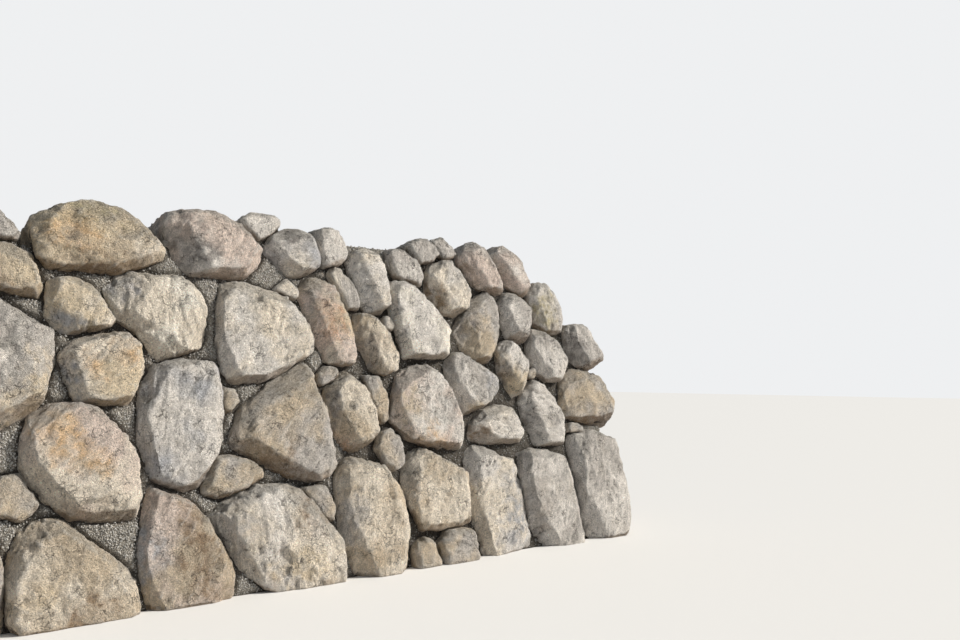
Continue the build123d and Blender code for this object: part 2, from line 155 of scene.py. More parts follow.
LIGHT = srgb(234, 226, 211)
CREAM = srgb(217, 205, 187)
SAND = srgb(205, 188, 161)
TAN = srgb(188, 172, 149)
PINK = srgb(204, 187, 174)
PALE = srgb(211, 204, 195)
GREY = srgb(179, 172, 164)
BLUE_GREY = srgb(168, 167, 168)
DARK_GREY = srgb(124, 118, 113)
OLIVE = srgb(170, 158, 126)
BROWN = srgb(138, 117, 94)
OCHRE = srgb(201, 169, 130)
RUST = srgb(182, 148, 121)
SOIL_AND_SHADE = srgb(128, 104, 80)
SOIL_AND_SHADE_SHARE = 0.6  # how much soil and painted shade shows on a stone's underside
GRIT = srgb(128, 124, 116)
GRIT_SHARE = 0.6  # how much gravel dust lies on a stone's upward faces
JOINT_SOIL_AND_SHADE = srgb(70, 60, 50)
JOINT_SOIL_AND_SHADE_SHARE = 0.7  # how much dark soil and painted shade shows on the flanks inside the joints
DUSTY = srgb(98, 93, 88)
WORN = srgb(224, 220, 212)
DARK_DOT = srgb(86, 82, 80)
PALE_FLECK = srgb(232, 228, 220)
CRACK = srgb(70, 64, 58)
# The painted shade of the gravel in tight joints
HOLLOW_SHADE = srgb(74, 62, 50)
CRUSHED = (srgb(170, 167, 162), srgb(196, 192, 184))
PACKED = (srgb(148, 141, 130), srgb(190, 183, 171))
CRACK_SHARE = 0.75  # how strongly a crack shows
STREAK_NARROW = 1.6  # the narrow streaks' contrast, compared with the broad ones'

# The stage
FLOOR_COLOUR = srgb(226, 224, 220)
FLOOR_REACH = 60
SKY_LIGHT = (0.30, 0.33, 0.37)
SKY_SEEN = (0.86, 0.87, 0.88)
SUN_FROM = Vector((0.88, -0.52, 0.66))
SUN_ANGLE = 7  # in degrees, for shadows with soft edges
SUN_STRENGTH = 4.8
SUN_COLOUR = (1.0, 0.96, 0.9)


class Look:
    """The finish of one boulder: its slot, two mixed colours and patches of others, some of them painted
    shade.
    """

    def __init__(self, slot, first, second, *patches):
        self.slot = slot
        self.first = first
        self.second = second
        self.patches = patches


# A patch is (across, up, radius, colour), as shares of the boulder's own width and height.
# The grey, dark grey, blue-grey and brown patches by a boulder's left edge and at its foot are painted shade
# on its shaded left facets and underside; the other patches are its own colours.
LOOKS = {
    "base_boulder_1": Look("tan_limestone", TAN, GREY),
    "base_boulder_2": Look("tan_limestone", CREAM, TAN, (0.3, 0.85, 0.35, TAN), (0.55, 0.0, 0.28, BROWN),
                           (0.2, 0.3, 0.2, SAND)),
    "base_boulder_3": Look("rusty_limestone", PINK, TAN, (0.05, 0.5, 0.3, BLUE_GREY), (0.6, 0.7, 0.25, BROWN),
                           (0.65, 0.25, 0.35, BROWN)),
    "base_boulder_4": Look("tan_limestone", CREAM, PALE, (0.15, 0.5, 0.3, GREY), (0.85, 0.7, 0.3, BROWN),
                           (0.6, 0.2, 0.25, SAND)),
    "base_boulder_5": Look("tan_limestone", TAN, CREAM, (0.1, 0.5, 0.25, GREY)),
    "base_boulder_6": Look("tan_limestone", CREAM, TAN),
    "base_boulder_7": Look("grey_limestone", PALE, CREAM, (0.8, 0.3, 0.5, BLUE_GREY)),
    "base_boulder_8": Look("pale_limestone", GREY, PALE),
    "base_boulder_9": Look("grey_limestone", GREY, PALE),
    "second_boulder_1": Look("tan_limestone", TAN, GREY),
    "second_boulder_2": Look("tan_limestone", CREAM, PINK, (0.3, 0.8, 0.22, OCHRE), (0.6, 0.6, 0.15, OCHRE),
                             (0.4, 0.03, 0.3, BROWN)),
    "second_boulder_3": Look("grey_limestone", BLUE_GREY, PALE, (0.7, 0.12, 0.25, DARK_GREY)),
    "second_boulder_4": Look("grey_limestone", GREY, TAN, (0.3, 0.15, 0.3, BROWN)),
    "second_boulder_5": Look("tan_limestone", CREAM, TAN, (0.1, 0.6, 0.25, DARK_GREY),
                             (0.25, 0.15, 0.25, RUST)),
    "second_boulder_6": Look("pale_limestone", PALE, PINK, (0.12, 0.5, 0.3, TAN), (0.5, 0.06, 0.3, OCHRE)),
    "second_boulder_7": Look("pale_limestone", CREAM, PALE, (0.1, 0.5, 0.3, BROWN)),
    "second_boulder_8": Look("grey_limestone", GREY, PALE, (0.1, 0.5, 0.3, DARK_GREY)),
    "second_boulder_9": Look("grey_limestone", GREY, TAN, (0.5, 0.1, 0.3, BROWN)),
    "third_boulder_1": Look("pale_limestone", PALE, GREY, (0.8, 0.25, 0.35, SAND)),
    "third_boulder_2": Look("rusty_limestone", CREAM, SAND, (0.35, 0.6, 0.2, OCHRE), (0.75, 0.75, 0.2, OCHRE),
                            (0.08, 0.5, 0.25, BLUE_GREY)),
    "third_boulder_3": Look("grey_limestone", CREAM, SAND, (0.2, 0.3, 0.3, BLUE_GREY)),
    "third_boulder_4": Look("pale_limestone", LIGHT, CREAM, (0.08, 0.85, 0.25, BLUE_GREY),
                            (0.2, 0.2, 0.2, BROWN)),
    "third_boulder_5": Look("pale_limestone", PALE, CREAM),
    "third_boulder_6": Look("rusty_limestone", SAND, PINK, (0.3, 0.95, 0.3, DARK_GREY),
                            (0.08, 0.5, 0.2, GREY), (0.6, 0.55, 0.3, RUST), (0.6, 0.08, 0.3, CREAM)),
    "third_boulder_7": Look("rusty_limestone", TAN, CREAM, (0.15, 0.5, 0.4, DARK_GREY)),
    "third_boulder_8": Look("pale_limestone", LIGHT, PALE, (0.4, 0.0, 0.2, BROWN)),
    "third_boulder_9": Look("pale_limestone", GREY, PALE, (0.85, 0.5, 0.3, BLUE_GREY),
                            (0.5, 0.1, 0.3, SAND)),
    "third_boulder_10": Look("grey_limestone", TAN, GREY, (0.2, 0.8, 0.35, DARK_GREY)),
    "third_boulder_11": Look("tan_limestone", SAND, PALE, (0.1, 0.5, 0.25, DARK_GREY)),
    "third_boulder_12": Look("pale_limestone", PALE, GREY),
    "third_boulder_13": Look("pale_limestone", GREY, PALE),
    "third_boulder_14": Look("grey_limestone", PALE, GREY, (0.15, 0.5, 0.4, DARK_GREY)),
    "top_boulder_1": Look("tan_limestone", SAND, TAN, (0.5, 0.1, 0.4, BROWN)),
    "top_boulder_2": Look("tan_limestone", TAN, SAND, (0.4, 0.95, 0.35, OLIVE), (0.3, 0.6, 0.2, OCHRE),
                          (0.85, 0.5, 0.2, CREAM), (0.45, 0.05, 0.4, BROWN)),
    "top_boulder_3": Look("grey_limestone", PALE, PINK, (0.15, 0.55, 0.3, DARK_GREY)),
    "top_boulder_4": Look("grey_limestone", BLUE_GREY, PALE, (0.5, 0.85, 0.3, DARK_GREY),
                          (0.6, 0.3, 0.3, CREAM)),
    "top_boulder_5": Look("tan_limestone", CREAM, PALE),
    "top_boulder_6": Look("tan_limestone", CREAM, PALE, (0.1, 0.4, 0.3, BROWN)),
    "top_boulder_7": Look("pale_limestone", PALE, PINK, (0.1, 0.4, 0.25, DARK_GREY)),
    "top_boulder_8": Look("pale_limestone", PINK, PALE, (0.08, 0.5, 0.25, DARK_GREY)),
    "top_boulder_9": Look("tan_limestone", GREY, PALE, (0.4, 0.5, 0.45, OLIVE)),
    "base_wedge_stones": Look("grey_limestone", GREY, TAN),
    "second_wedge_stones": Look("grey_limestone", GREY, TAN),
    "third_wedge_stones": Look("grey_limestone", GREY, CREAM),
    "top_wedge_stones": Look("grey_limestone", PALE, GREY),
}


# Large odd numbers that scatter neighbouring cells and seeds
SCATTER_CELLS = (73856093, 19349663, 83492791)
SCATTER_SEED = 2654435761
SCATTER_BITS = 0x45D9F3B
ALL_BITS = 0xFFFFFFFF

# Each layer of noise is finer than the one before by this factor, and has a seed of its own.
FINER = 2.03
RIDGE_FINER = 2.1
LAYER_SEED = 31
CREST = 3.2  # how steeply the ridges fall away from their crests
NOISE_SHIFT = 1000  # keeps the cells' numbers above zero


def lattice(cells, seed):
    """A repeatable random number from 0 to 1 for each whole-numbered cell."""
    x, y, z = (cells * SCATTER_CELLS).T
    mixed = (x ^ y ^ z ^ seed * SCATTER_SEED) & ALL_BITS
    for _ in range(2):
        mixed = ((mixed >> 16) ^ mixed) * SCATTER_BITS & ALL_BITS
    return ((mixed >> 16) ^ mixed) / ALL_BITS


def eased(share):
    """A share from 0 to 1 with a soft start and a soft end."""
    return share * share * (3 - 2 * share)


def noise(points, size, seed):
    """Smooth noise from -1 to 1, with lumps about this many metres across."""
    at = points / size + NOISE_SHIFT
    cell = np.floor(at).astype(np.int64)
    ease = eased(at - cell)
    total = np.zeros(len(points))
    for corner in itertools.product((0, 1), repeat=3):
        weight = np.where(corner, ease, 1 - ease).prod(axis=1)
        total += weight * lattice(cell + corner, seed)
    return 2 * total - 1


# Each layer of noise is turned, so that its cells don't line up with the layer before.
TURN = np.array(Euler((0.9, 0.6, 0.4)).to_matrix())


def layered_noise(points, size, seed, layers=3, gain=0.55):
    """Noise with finer and weaker noise on it."""
    total = np.zeros(len(points))
    share = 1.0
    for layer in range(layers):
        points = points @ TURN
        total += share * noise(points, size / FINER**layer, seed + LAYER_SEED * layer)
        share *= gain
    return total


def ridges(points, size, seed, layers=3, gain=0.6):
    """Noise with sharp crests, from about -1 to 1."""
    total = np.zeros(len(points))
    share = 1.0
    for layer in range(layers):
        points = points @ TURN
        lumps = noise(points, size / RIDGE_FINER**layer, seed + LAYER_SEED * layer)
        total += share * (1 - CREST * np.abs(lumps))
        share *= gain
    return total / (1 + gain)


def cast(origin, direction, reach):
    """(point, normal, the object) where a ray first meets the wall, or None."""
    depsgraph = bpy.context.evaluated_depsgraph_get()
    hit, point, normal, _, thing, _ = bpy.context.scene.ray_cast(depsgraph, origin, direction, distance=reach)
    return (point, normal, thing) if hit else None


def origins(direction, pitch):
    """A grid of points outside the wall, from which rays in this direction cover it."""
    across = direction.orthogonal().normalized()
    up = direction.cross(across)
    corners = [Vector(corner) for corner in itertools.product(*zip(*cad_box))]
    start = min(corner.dot(direction) for corner in corners) - OUTSIDE
    spans = []
    for axis in (across, up):
        reaches = [corner.dot(axis) for corner in corners]
        spans.append(np.arange(min(reaches), max(reaches), pitch))
    return [across * a + up * b + direction * start for a in spans[0] for b in spans[1]]


def cells_of(points, shift=(0, 0, 0)):
    """One number for the cell in which each point lies."""
    x, y, z = (np.floor(points / CELL).astype(np.int64) + MOST_CELLS // 2 + shift).T
    return (x * MOST_CELLS + y) * MOST_CELLS + z


def cells_seen(directions):
    """The cells of the surfaces that show from these directions, and their neighbours."""
    found = []
    for direction in directions:
        direction = Vector(direction).normalized()
        hits = [cast(origin, direction, FAR) for origin in origins(direction, SEEN_PITCH)]
        found += [hit[0][:] for hit in hits if hit]
    points = np.array(found)
    near = [cells_of(points, shift) for shift in itertools.product((-1, 0, 1), repeat=3)]
    return np.unique(np.concatenate(near))


def solids_of(node):
    """The node's closed solids, each as a mesh of its own."""
    bm = bmesh.new()
    bm.from_mesh(node.data)
    bmesh.ops.remove_doubles(bm, verts=bm.verts, dist=SAME_POINT)
    left = set(bm.verts)
    solids = []
    while left:
        reached = {min(left, key=lambda v: v.index)}
        waiting = list(reached)
        while waiting:
            vert = waiting.pop()
            for edge in vert.link_edges:
                other = edge.other_vert(vert)
                if other not in reached:
                    reached.add(other)
                    waiting.append(other)
        left -= reached
        order = sorted(reached, key=lambda v: v.index)
        index = {v: i for i, v in enumerate(order)}
        faces = [[index[v] for v in f.verts] for f in bm.faces if f.verts[0] in reached]
        mesh = bpy.data.meshes.new("solid")
        mesh.from_pydata([v.co[:] for v in order], [], faces)
        solids.append(mesh)
    bm.free()
    return solids


def with_modifier(mesh, kind, **settings):
    """The mesh after one modifier. Weights say for each point whether the modifier works on it."""
    holder = bpy.data.objects.new("holder", mesh)
    bpy.context.scene.collection.objects.link(holder)
    if "weights" in settings:
        holder.vertex_groups.clear()
        group = holder.vertex_groups.new(name="weights")
        for index in np.nonzero(settings.pop("weights"))[0]:
            group.add([int(index)], 1.0, "ADD")
        settings["vertex_group"] = "weights"
    modifier = holder.modifiers.new("change", kind)
    for setting, value in settings.items():
        setattr(modifier, setting, value)
    evaluated = holder.evaluated_get(bpy.context.evaluated_depsgraph_get())
    result = bpy.data.meshes.new_from_object(evaluated)
    bpy.data.objects.remove(holder)
    return result


def vectors_of(mesh, name):
    """One vector of each vertex: its place or its normal."""
    flat = np.empty(len(mesh.vertices) * 3, np.float32)
    mesh.vertices.foreach_get(name, flat)
    return flat.reshape(-1, 3).astype(float)


def points_of(mesh):
    """The place of each vertex."""
    return vectors_of(mesh, "co")


def normals_of(mesh):
    """The way out of the surface at each vertex."""
    return vectors_of(mesh, "normal")


def set_points(mesh, points):
    """Moves the vertices to these points."""
    mesh.vertices.foreach_set("co", points.astype(np.float32).ravel())
    mesh.update()


def add_attribute(mesh, name, values):
    """Writes one number, vector or colour for each vertex."""
    width = 1 if values.ndim == 1 else values.shape[1]
    kind, field = {1: ("FLOAT", "value"), 3: ("FLOAT_VECTOR", "vector"), 4: ("FLOAT_COLOR", "color")}[width]
    attribute = mesh.attributes.new(name, kind, "POINT")
    attribute.data.foreach_set(field, values.astype(np.float32).ravel())


class Neighbours:
    """Averages of what lies round each vertex of a mesh."""

    def __init__(self, mesh):
        pairs = np.empty(len(mesh.edges) * 2, np.int32)
        mesh.edges.foreach_get("vertices", pairs)
        self.a, self.b = pairs.reshape(-1, 2).T
        self.count = len(mesh.vertices)
        self.weight = np.bincount(self.a, minlength=self.count) + np.bincount(self.b, minlength=self.count)

    def mean(self, values):
        """The average of each vertex's neighbours."""
        columns = values.reshape(self.count, -1).T
        sums = [
            np.bincount(self.a, column[self.b], self.count) + np.bincount(self.b, column[self.a], self.count)
            for column in columns
        ]
        return (np.array(sums) / self.weight).T.reshape(values.shape)

    def smooth(self, values, times, share=0.6):
        """The values, each moved towards its neighbours' average this many times."""
        for _ in range(times):
            values = values + share * (self.mean(values) - values)
        return values


def broken(points, normals, edges, rng, size):
    """The points with flat chips cut from the corners and shallow scoops from the faces."""
    ways = [rng.normal(size=3) for _ in range(CHIPS)]
    chosen = rng.choice(edges, EDGE_CHIPS)
    ways += [normals[index] + rng.normal(size=3) * EDGE_CHIP_SPREAD for index in chosen]
    for out in ways:
        out = out / np.linalg.norm(out)
        reach = points @ out
        limit = reach.max() - size * rng.uniform(*CHIP_CUT)
        points = points - np.maximum(reach - limit, 0)[:, None] * out
    for index in rng.integers(0, len(points), SCOOPS):
        radius = size * rng.uniform(*SCOOP_RADIUS)
        depth = size * rng.uniform(*SCOOP_DEPTH)
        centre = points[index] + normals[index] * (radius - depth)
        away = points - centre
        distance = np.linalg.norm(away, axis=1)
        inside = distance < radius
        points[inside] = centre + away[inside] / distance[inside, None] * radius
    return points


def terraces(points, seed):
    """Low steps, as where a bed of limestone has split."""
    height = TERRACE_STEPS * layered_noise(points, TERRACE_SIZE, seed, layers=3)
    step = np.floor(height)
    riser = np.clip((height - step - RISER_START) / RISER_WIDTH, 0, 1)
    return step + riser - height * TERRACE_TILT


def stone_mesh(solid, look, seed):
    """One broken boulder from its plain solid."""
    rng = np.random.default_rng(seed)
    mesh = with_modifier(solid, "REMESH", mode="VOXEL", voxel_size=VOXEL)
    around = Neighbours(mesh)
    points = points_of(mesh)
    on_ground = points[:, 2] < VOXEL / 2
    size = float(np.ptp(points, axis=0)[[0, 2]].mean())
    low, high = points.min(axis=0), points.max(axis=0)
    points = points + SWELL * normals_of(mesh)
    normals = normals_of(mesh)
    sharp = ((points - around.smooth(points, EDGE_SMOOTHING)) * normals).sum(axis=1)
    edges = np.nonzero(sharp > np.quantile(sharp, BLUNT))[0]
    points = broken(points, normals, edges, rng, size)
    points = around.smooth(points, 1, CHIP_SMOOTHING)
    set_points(mesh, points)
    normals = normals_of(mesh)
    bearing = math.radians(GRAIN_BEARING + BEARING_SPREAD * rng.normal())
    along = np.array([math.cos(bearing), BEARING_DEPTH * rng.normal(), math.sin(bearing)])
    along /= np.linalg.norm(along)
    bedded = points - BEDDING * (points @ along)[:, None] * along
    push = LUMP_HEIGHT * layered_noise(points, LUMP_SIZE, seed, layers=2)
    push += TERRACE_HEIGHT * terraces(bedded, seed + 5)
    push += RIDGE_HEIGHT * ridges(bedded, RIDGE_SIZE, seed + 9)
    push += GRAIN_HEIGHT * layered_noise(points, GRAIN_SIZE, seed + 13, layers=2)
    points = points + (min(1.0, SMALL_ROUGH + size) * push)[:, None] * normals
    points[on_ground, 2] = 0
    points = within_box(points)
    set_points(mesh, points)
    bump = ((points - around.smooth(points, WEAR_SMOOTHING)) * normals_of(mesh)).sum(axis=1)
    add_attribute(mesh, "wear", np.clip(bump / FULL_WEAR, -1, 1))
    add_attribute(mesh, "tone", tones(points, normals, look, low, high, seed))
    add_attribute(mesh, "bedded", bedded + rng.uniform(0, BEDDED_SHIFT, 3))
    mesh = thinned(mesh)
    set_points(mesh, within_box(np.clip(points_of(mesh), low - SWELL, high + SWELL)))
    return mesh


def depths(points):
    """How far each point lies behind the face plane."""
    return (points[:, 1] - FACE_AT_FOOT - BATTER * points[:, 2]) * INTO.y


def fullness(x):
    """How full the pockets are packed, which falls off towards the wall's right end."""
    return np.interp(x, PACKED_FULL, (1.0, PACKED_LESS))


def within_box(points):
    """The points, with none outside the box of the CAD model."""
    return np.clip(points, *np.array(cad_box))


def painted(colours, share, paint):
    """The colours with a share of one colour over each."""
    return colours * (1 - share[:, None]) + share[:, None] * np.array(paint)


def dirt_and_shade(turned, ragged):
    """How fully a face that is turned this far up or down is covered, from 0 to 1: by grit on top, and by
    soil and painted shade underneath.
    """
    return np.clip((turned - DIRT_AND_SHADE_FROM + DIRT_AND_SHADE_RAGGED * ragged) / DIRT_AND_SHADE_FADE, 0, 1)


def flank_soil_and_shade(points, normals, ragged):
    """How fully dark soil and painted shade cover a stone's flanks inside the joints, from 0 to 1."""
    depth = depths(points)
    share = np.clip((depth - FLANK_START) / FLANK_FADE + ragged, 0, 1)
    share *= np.clip((FLANK_END - depth) / FLANK_END_FADE, 0, 1)
    share *= np.clip(1 + FLANK_LEAST - fullness(points[:, 0]), 0, 1)
    share *= np.clip((FLANK_UPWARD - normals[:, 2]) / FLANK_UPWARD_FADE, 0, 1)
    return share * ~np.isin(cells_of(points), END_CELLS)


def tones(points, normals, look, low, high, seed):
    """The colour of each point: two mixed colours, with the look's patches over them, some of them painted
    shade, soil and painted shade on its underside and flanks, and gravel grit on its top."""
    mix = layered_noise(points, MIX_SIZE, seed + 40, layers=4, gain=0.6)
    mix = np.clip(0.5 + MIX_CONTRAST * mix, 0, 1)
    colour = painted(np.full((len(points), 3), look.second), mix, look.first)
    across = (points[:, 0] - low[0]) / (high[0] - low[0])
    up = (points[:, 2] - low[2]) / (high[2] - low[2])
    ragged = RAGGED * layered_noise(points, RAGGED_SIZE, seed + 60, layers=4, gain=0.7)
    blotched = BLOTCH_CONTRAST * layered_noise(points, BLOTCH_SIZE, seed + 80, layers=2)
    blotched = np.clip(BLOTCH_MIDDLE + blotched, *BLOTCH_LIMITS)
    for at_x, at_z, radius, paint in look.patches:
        away = np.hypot(across - at_x, up - at_z) / radius + ragged
        colour = painted(colour, np.clip(PATCH_FADE * (PATCH_EDGE - away), 0, 1) * blotched, paint)
    # Soil and painted shade on the faces that turn down
    colour = painted(colour, SOIL_AND_SHADE_SHARE * dirt_and_shade(-normals[:, 2], ragged), SOIL_AND_SHADE)
    colour = painted(colour, GRIT_SHARE * dirt_and_shade(normals[:, 2], ragged), GRIT)
    # Dark soil and painted shade on the flanks, darker deeper behind the face plane
    colour = painted(colour, JOINT_SOIL_AND_SHADE_SHARE * flank_soil_and_shade(points, normals, ragged), JOINT_SOIL_AND_SHADE)
    return np.hstack([colour, np.ones((len(points), 1))])


def decimated(mesh, chosen, share):
    """The mesh with this share of the faces kept round its chosen points."""
    return with_modifier(mesh, "DECIMATE", ratio=float(1 - chosen.mean() * (1 - share)), weights=chosen)


def thinned(mesh):
    """The mesh with few faces where nothing shows, and fewer where only the rear shows."""
    cells = cells_of(points_of(mesh))
    mesh = decimated(mesh, ~np.isin(cells, FRONT_CELLS) & ~np.isin(cells, REAR_CELLS), HIDDEN_SHARE)
    mesh = decimated(mesh, ~np.isin(cells_of(points_of(mesh)), FRONT_CELLS), REAR_SHARE)
    return decimated(mesh, np.isin(cells_of(points_of(mesh)), FRONT_CELLS), FRONT_SHARE)


def joined(meshes):
    """Several meshes as one."""
    bm = bmesh.new()
    for mesh in meshes:
        bm.from_mesh(mesh)
    whole = bpy.data.meshes.new("joined")
    bm.to_mesh(whole)
    bm.free()
    return whole


def add_piece(name, mesh, material):
    """A new smooth-shaded piece of the wall."""
    piece = bpy.data.objects.new(name, mesh)
    bpy.context.scene.collection.objects.link(piece)
    mesh.materials.clear()
    mesh.materials.append(material)
    mesh.polygons.foreach_set("use_smooth", np.ones(len(mesh.polygons), bool))
    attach(piece, "root")
    return piece


class Nodes:
    """Shorthand for building a material's node tree."""

    def __init__(self, name):
        self.material = bpy.data.materials.new(name)
        self.material.use_nodes = True
        self.tree = self.material.node_tree
        self.shader = self.tree.nodes["Principled BSDF"]
        coords = self.tree.nodes.new("ShaderNodeTexCoord")
        self.place = coords.outputs["Object"]

    def connect(self, source, target):
        """Links an output, or writes a number or a colour, into an input."""
        if isinstance(source, (int, float)):
            target.default_value = source
        elif isinstance(source, tuple):
            target.default_value = (*source, 1.0) if len(source) == 3 and target.type == "RGBA" else source
        else:
            self.tree.links.new(source, target)

    def warped(self, scale, amount):
        """The place, moved about by noise."""
        node = self.tree.nodes.new("ShaderNodeTexNoise")
        self.connect(self.place, node.inputs["Vector"])
        node.inputs["Scale"].default_value = scale
        node.inputs["Detail"].default_value = 5.0
        moved = self.tree.nodes.new("ShaderNodeVectorMath")
        moved.operation = "MULTIPLY_ADD"
        self.connect(node.outputs["Color"], moved.inputs[0])
        moved.inputs[1].default_value = (amount,) * 3
        self.connect(self.place, moved.inputs[2])
        return moved.outputs["Vector"]

    def noise(self, scale, detail, roughness=0.6, distortion=0.0, vector=None):
        """Noise from 0 to 1, with this many lumps to the metre."""
        node = self.tree.nodes.new("ShaderNodeTexNoise")
        self.connect(vector or self.place, node.inputs["Vector"])
        node.inputs["Scale"].default_value = scale
        node.inputs["Detail"].default_value = detail
        node.inputs["Roughness"].default_value = roughness
        node.inputs["Distortion"].default_value = distortion
        return node.outputs["Fac"]

    def cells(self, scale, feature="F1", vector=None):
        """The distance from the middles of scattered cells, or from their edges."""
        node = self.tree.nodes.new("ShaderNodeTexVoronoi")
        node.feature = feature
        self.connect(vector or self.place, node.inputs["Vector"])
        node.inputs["Scale"].default_value = scale
        return node.outputs["Distance"]

    def ramp(self, source, span, result=(0.0, 1.0)):
        """The source's values across the span, drawn out to the result's."""
        node = self.tree.nodes.new("ShaderNodeMapRange")
        self.connect(source, node.inputs["Value"])
        for name, value in zip(("From Min", "From Max", "To Min", "To Max"), (*span, *result)):
            node.inputs[name].default_value = value
        return node.outputs["Result"]

    def maths(self, operation, first, second):
        """The result of a sum on two values."""
        node = self.tree.nodes.new("ShaderNodeMath")
        node.operation = operation
        self.connect(first, node.inputs[0])
        self.connect(second, node.inputs[1])
        return node.outputs["Value"]

    def attribute(self, name, output):
        """What the mesh says at each vertex under this name."""
        node = self.tree.nodes.new("ShaderNodeAttribute")
        node.attribute_name = name
        return node.outputs[output]

    def mix(self, share, first, second):
        """The first colour with a share of the second over it."""
        node = self.tree.nodes.new("ShaderNodeMix")
        node.data_type = "RGBA"
        self.connect(share, node.inputs["Factor"])
        self.connect(first, node.inputs["A"])
        self.connect(second, node.inputs["B"])
        return node.outputs["Result"]

    def shaded(self, colour, *ramps):
        """The colour made lighter or darker by each ramp."""
        for ramp in ramps:
            node = self.tree.nodes.new("ShaderNodeVectorMath")
            node.operation = "SCALE"
            self.connect(colour, node.inputs[0])
            self.connect(self.ramp(*ramp), node.inputs["Scale"])
            colour = node.outputs["Vector"]
        return colour

    def cracks(self, scale, warp, width, where):
        """Lines between warped cells, shown only in some places."""
        edges = self.cells(scale, "DISTANCE_TO_EDGE", vector=self.warped(*warp))
        return self.maths("MULTIPLY", self.ramp(edges, (0.0, width), (1.0, 0.0)), where)

    def finish(self, colour, roughness, specular, *reliefs):
        """The material with this colour. A relief is (height, depth in metres, strength)."""
        self.connect(colour, self.shader.inputs["Base Color"])
        self.shader.inputs["Roughness"].default_value = roughness
        self.shader.inputs["Specular IOR Level"].default_value = specular
        below = None
        for height, depth, strength in reliefs:
            node = self.tree.nodes.new("ShaderNodeBump")
            node.inputs["Distance"].default_value = depth
            node.inputs["Strength"].default_value = strength
            self.connect(height, node.inputs["Height"])
            if below:
                self.connect(below, node.inputs["Normal"])
            below = node.outputs["Normal"]
        if below:
            self.connect(below, self.shader.inputs["Normal"])
        return self.material


def limestone(name, stain, stain_share, streaks):
    """Rough broken limestone: its tone comes from the mesh, its grain and stains from noise."""
    n = Nodes(name)
    wear = n.attribute("wear", "Fac")
    bedded = n.attribute("bedded", "Vector")
    mottle = n.noise(6.0, detail=9, roughness=0.7)
    grain = n.noise(60.0, detail=8, roughness=0.8)
    specks = n.noise(95.0, detail=4, roughness=0.75)
    fine = n.noise(190.0, detail=5, roughness=0.8)
    pits = n.cells(70.0)
    broad = n.noise(14.0, detail=9, roughness=0.72, distortion=0.3, vector=bedded)
    lean = n.noise(75.0, detail=6, roughness=0.75, distortion=0.4, vector=bedded)
    long_cracks = n.cracks(6.0, (9.0, 0.16), 0.014, n.ramp(n.noise(4.0, detail=4), (0.5, 0.6)))
    short_cracks = n.cracks(19.0, (26.0, 0.06), 0.07, n.ramp(n.noise(7.0, detail=5), (0.54, 0.60)))
    cracked = n.maths("MAXIMUM", long_cracks, short_cracks)
    narrow = STREAK_NARROW * streaks
    colour = n.shaded(
        n.attribute("tone", "Color"),
        (mottle, (0.3, 0.7), (1.04, 1.48)),
        (grain, (0.3, 0.7), (0.72, 1.38)),
        (specks, (0.37, 0.44), (0.56, 1.0)),
        (specks, (0.55, 0.63), (1.0, 1.42)),
        (broad, (0.35, 0.65), (1 - streaks, 1 + streaks)),
        (lean, (0.32, 0.68), (1 - narrow, 1 + narrow)),
    )
    stained = n.ramp(n.noise(3.2, detail=9, roughness=0.7, distortion=0.6), (0.53, 0.70))
    for share, paint in (
        (n.maths("MULTIPLY", stained, stain_share), stain),
        (n.ramp(wear, (-0.2, -1.0), (0.0, 0.5)), DUSTY),
        (n.ramp(wear, (0.2, 1.0), (0.0, 0.35)), WORN),
        (n.ramp(fine, (0.58, 0.70), (0.0, 0.65)), DARK_DOT),
        (n.ramp(fine, (0.45, 0.34), (0.0, 0.55)), PALE_FLECK),
        (n.maths("MULTIPLY", cracked, CRACK_SHARE), CRACK),
    ):
        colour = n.mix(share, colour, paint)
    return n.finish(
        colour, 0.92, 0.25,
        (broad, 0.035, 0.9),
        (n.maths("SUBTRACT", 1.0, cracked), 0.012, 0.8),
        (lean, 0.010, 0.9),
        (grain, 0.020, 1.0),
        (n.ramp(pits, (0.05, 0.4)), 0.008, 0.9),
        (specks, 0.012, 1.0),
    )


def crushed_stone(name):
    """Grey crushed stone with a pale coat of grit on some grains, and painted shade on the front grains
    towards the right end.
    """
    n = Nodes(name)
    grain = n.noise(60.0, detail=6, roughness=0.7)
    fine = n.noise(260.0, detail=4, roughness=0.7)
    colour = n.shaded(
        n.mix(n.ramp(grain, (0.35, 0.65)), *CRUSHED),
        (n.attribute("shade", "Fac"), (0.0, 1.0), (0.31, 1.25)),
        (fine, (0.3, 0.7), (0.85, 1.15)),
    )
    return n.finish(colour, 0.9, 0.25, (grain, 0.006, 0.7), (fine, 0.002, 0.6))


def gravel_bed(name):
    """The packed gravel behind the loose grains: a close mass of small stones and fine grit, with painted
    shade where the joints are tight.
    """
    n = Nodes(name)
    grain = n.cells(75.0)
    small = n.cells(160.0)
    hollow = n.attribute("hollow", "Fac")
    colour = n.shaded(
        n.mix(n.ramp(n.noise(30.0, detail=6, roughness=0.8), (0.40, 0.60)), *PACKED),
        (n.cells(75.0, "DISTANCE_TO_EDGE"), (0.0, 0.12), (0.45, 1.14)),
        (small, (0.0, 0.6), (1.28, 0.68)),
    )
    # Painted shade: the gravel is darker and browner the tighter the joint, less so where the pockets are
    # packed full
    colour = n.mix(n.ramp(hollow, (0.2, 1.0), (0.0, 0.55)), colour, HOLLOW_SHADE)
    return n.finish(
        n.shaded(colour, (hollow, (0.2, 1.0), (1.0, 0.36))), 0.95, 0.2,
        (n.ramp(grain, (0.0, 0.7), (1, 0)), 0.012, 1.0),
        (n.ramp(small, (0.0, 0.6), (1, 0)), 0.006, 0.8),
    )


